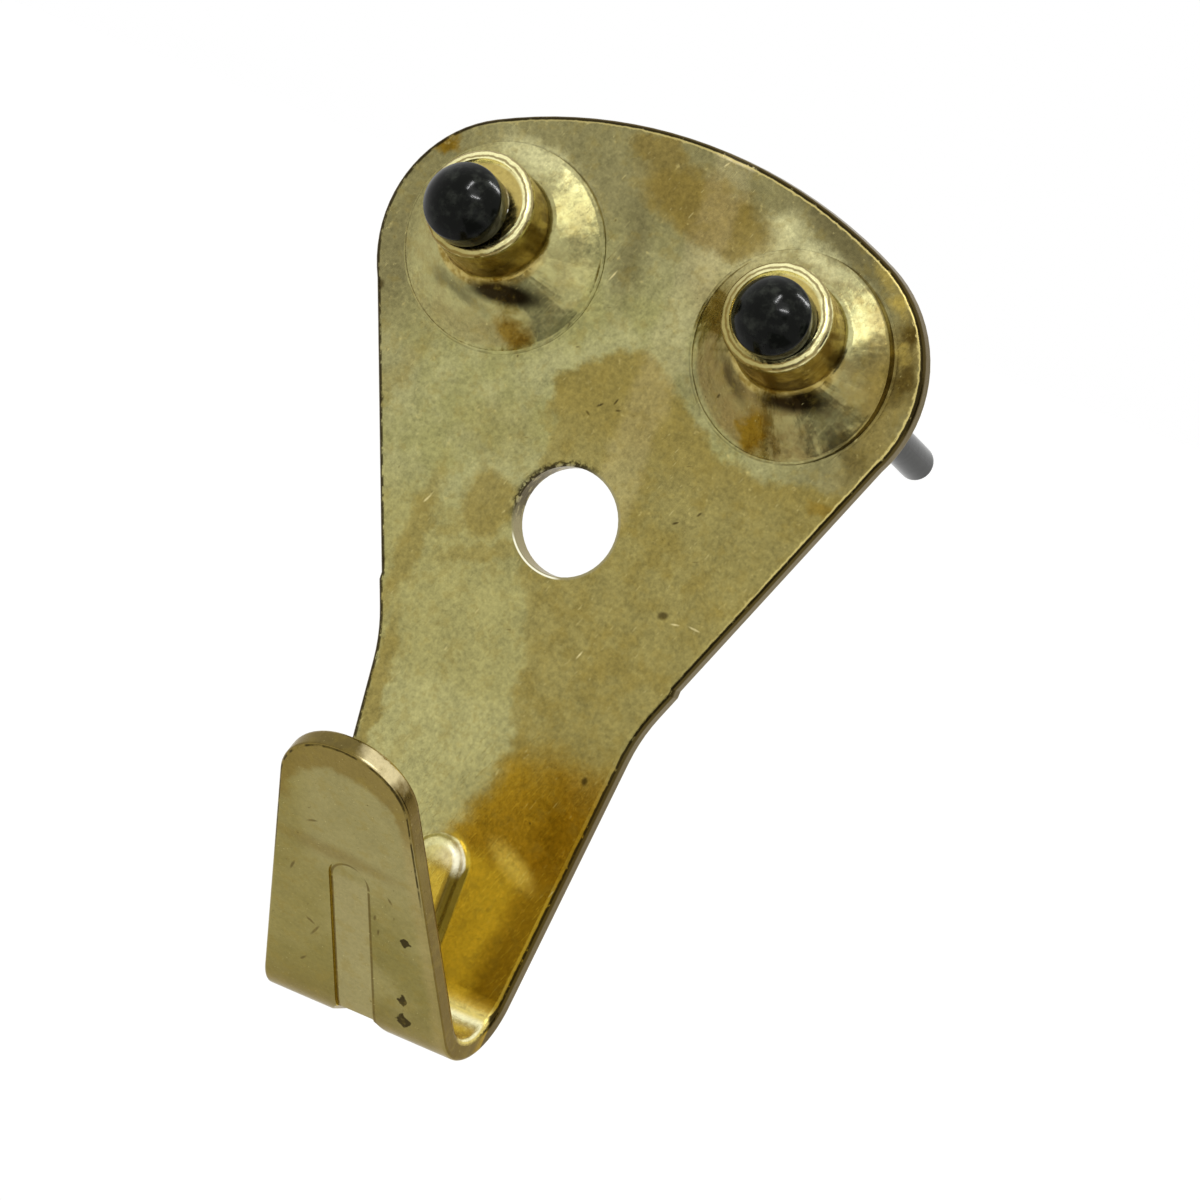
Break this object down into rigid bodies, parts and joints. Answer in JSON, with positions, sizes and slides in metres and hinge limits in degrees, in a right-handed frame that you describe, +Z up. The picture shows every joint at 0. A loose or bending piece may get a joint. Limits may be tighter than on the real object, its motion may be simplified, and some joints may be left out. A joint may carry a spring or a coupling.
{
  "type": "picture hook",
  "caption": "Stamped brass-plated picture hook: shield-shaped head, drawn nail collars with domed nails, a centre hole and a ribbed tongue bent up and outwards.",
  "frame": {"origin": "centre of the hole between the tapering sides, on the plane of the wall", "axes": "+X along the wall to the right when facing the hook, +Y into the wall, +Z up; the plate's back face is the plane Y = 0"},
  "size_m": [0.0326, 0.0465, 0.0506],
  "materials": {
    "plated_sheet": "worn, tarnished brass plate on stamped sheet",
    "nail_steel": "satin black oxide"
  },
  "bodies": {
    "root": {"hanger_plate": "plated_sheet", "left_nail": "nail_steel", "right_nail": "nail_steel"}
  },
  "joints": []
}
